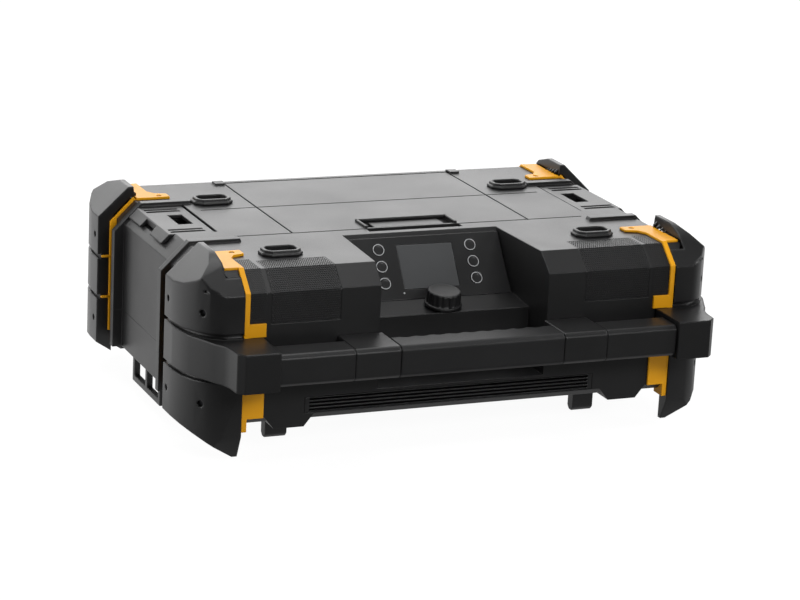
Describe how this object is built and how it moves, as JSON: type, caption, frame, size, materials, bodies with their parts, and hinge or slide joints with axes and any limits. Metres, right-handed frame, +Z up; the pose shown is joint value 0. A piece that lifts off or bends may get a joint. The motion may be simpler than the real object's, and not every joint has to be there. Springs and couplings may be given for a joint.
{
  "type": "jobsite radio",
  "caption": "Rugged flat box-shaped radio with corner bumpers, front carry bar, tilted control panel and a hinged lid over a battery charger bay.",
  "frame": {"origin": "centre of the footprint at the soles of the feet", "axes": "+X to the right across the case, +Y to the rear, +Z up; the handle bar is at -Y"},
  "size_m": [0.44, 0.339, 0.1565],
  "materials": {
    "case_black": "fine moulded texture, satin",
    "bumper_black": "soft-touch moulded plastic",
    "gloss_black": "smooth",
    "accent_yellow": "moulded, satin",
    "grille_black": "perforated",
    "grip_rubber": "soft overmould",
    "knob_rubber": "fluted",
    "screen_glass": "tinted window",
    "circuit_green": "printed circuit",
    "steel": "plated",
    "seal_rubber": "soft",
    "cone_black": "pressed pulp"
  },
  "bodies": {
    "case": {"upper_housing": "case_black", "lower_housing": "case_black", "control_panel": "gloss_black", "display_window": "screen_glass", "display_module": "gloss_black", "display_board": "circuit_green", "encoder_body": "steel", "charger_tub": "case_black", "usb_socket": "steel", "aux_socket": "steel", "battery_dock": "case_black", "dock_terminals": "steel", "handle_grip": "grip_rubber", "bumper_screws": "steel", "liner_screws": "steel", "case_screws": "steel", "stacking_bosses": "case_black", "feet": "case_black", "vent_grille": "case_black", "main_circuit_board": "circuit_green", "board_standoffs": "steel", "power_supply": "steel", "mains_inlet": "gloss_black", "antenna_board": "circuit_green", "speaker_grille_left": "grille_black", "speaker_baffle_left": "case_black", "speaker_driver_left": "cone_black", "bar_bracket_left": "case_black", "front_bar_left": "case_black", "side_latch_plate_left": "case_black", "side_loop_left": "case_black", "bumper_front_left": "bumper_black", "corner_liner_front_left": "accent_yellow", "bumper_rear_left": "bumper_black", "corner_liner_rear_left": "accent_yellow", "speaker_grille_right": "grille_black", "speaker_baffle_right": "case_black", "speaker_driver_right": "cone_black", "bar_bracket_right": "case_black", "front_bar_right": "case_black", "side_latch_plate_right": "case_black", "side_loop_right": "case_black", "bumper_front_right": "bumper_black", "corner_liner_front_right": "accent_yellow", "bumper_rear_right": "bumper_black", "corner_liner_rear_right": "accent_yellow"},
    "charger_lid": {"charger_lid": "case_black", "lid_seal": "seal_rubber", "lid_hinge_pins": "steel"},
    "lid_latch": {"lid_latch": "case_black"},
    "encoder_shaft": {"encoder_shaft": "steel"},
    "tuning_knob": {"tuning_knob": "knob_rubber"},
    "preset_button_1": {"preset_button_1": "gloss_black"},
    "preset_button_2": {"preset_button_2": "gloss_black"},
    "preset_button_3": {"preset_button_3": "gloss_black"},
    "preset_button_4": {"preset_button_4": "gloss_black"},
    "preset_button_5": {"preset_button_5": "gloss_black"},
    "preset_button_6": {"preset_button_6": "gloss_black"}
  },
  "joints": [
    {"name": "charger_lid_hinge", "type": "hinge", "parent": "case", "child": "charger_lid", "pos_m": [0, 0.14255, 0.14345], "axis": [-1, 0, 0], "range_deg": [0, 95]},
    {"name": "lid_latch_slide", "type": "slide", "parent": "charger_lid", "child": "lid_latch", "axis": [0, 1, 0], "range_m": [0, 0.005], "stiffness_N_per_m": 600, "springref_m": -0.003},
    {"name": "encoder_push", "type": "slide", "parent": "case", "child": "encoder_shaft", "axis": [0, 0.1352, -0.9908], "range_m": [0, 0.001], "stiffness_N_per_m": 900, "springref_m": -0.001},
    {"name": "tuning_knob_turn", "type": "hinge", "parent": "encoder_shaft", "child": "tuning_knob", "pos_m": [0, -0.086, 0.09857], "axis": [0, -0.1352, 0.9908], "continuous": true},
    {"name": "preset_push_1", "type": "slide", "parent": "case", "child": "preset_button_1", "axis": [0, 0.809, -0.5878], "range_m": [0, 0.0008], "stiffness_N_per_m": 900, "springref_m": -0.001},
    {"name": "preset_push_2", "type": "slide", "parent": "case", "child": "preset_button_2", "axis": [0, 0.809, -0.5878], "range_m": [0, 0.0008], "stiffness_N_per_m": 900, "springref_m": -0.001},
    {"name": "preset_push_3", "type": "slide", "parent": "case", "child": "preset_button_3", "axis": [0, 0.809, -0.5878], "range_m": [0, 0.0008], "stiffness_N_per_m": 900, "springref_m": -0.001},
    {"name": "preset_push_4", "type": "slide", "parent": "case", "child": "preset_button_4", "axis": [0, 0.809, -0.5878], "range_m": [0, 0.0008], "stiffness_N_per_m": 900, "springref_m": -0.001},
    {"name": "preset_push_5", "type": "slide", "parent": "case", "child": "preset_button_5", "axis": [0, 0.809, -0.5878], "range_m": [0, 0.0008], "stiffness_N_per_m": 900, "springref_m": -0.001},
    {"name": "preset_push_6", "type": "slide", "parent": "case", "child": "preset_button_6", "axis": [0, 0.809, -0.5878], "range_m": [0, 0.0008], "stiffness_N_per_m": 900, "springref_m": -0.001}
  ]
}
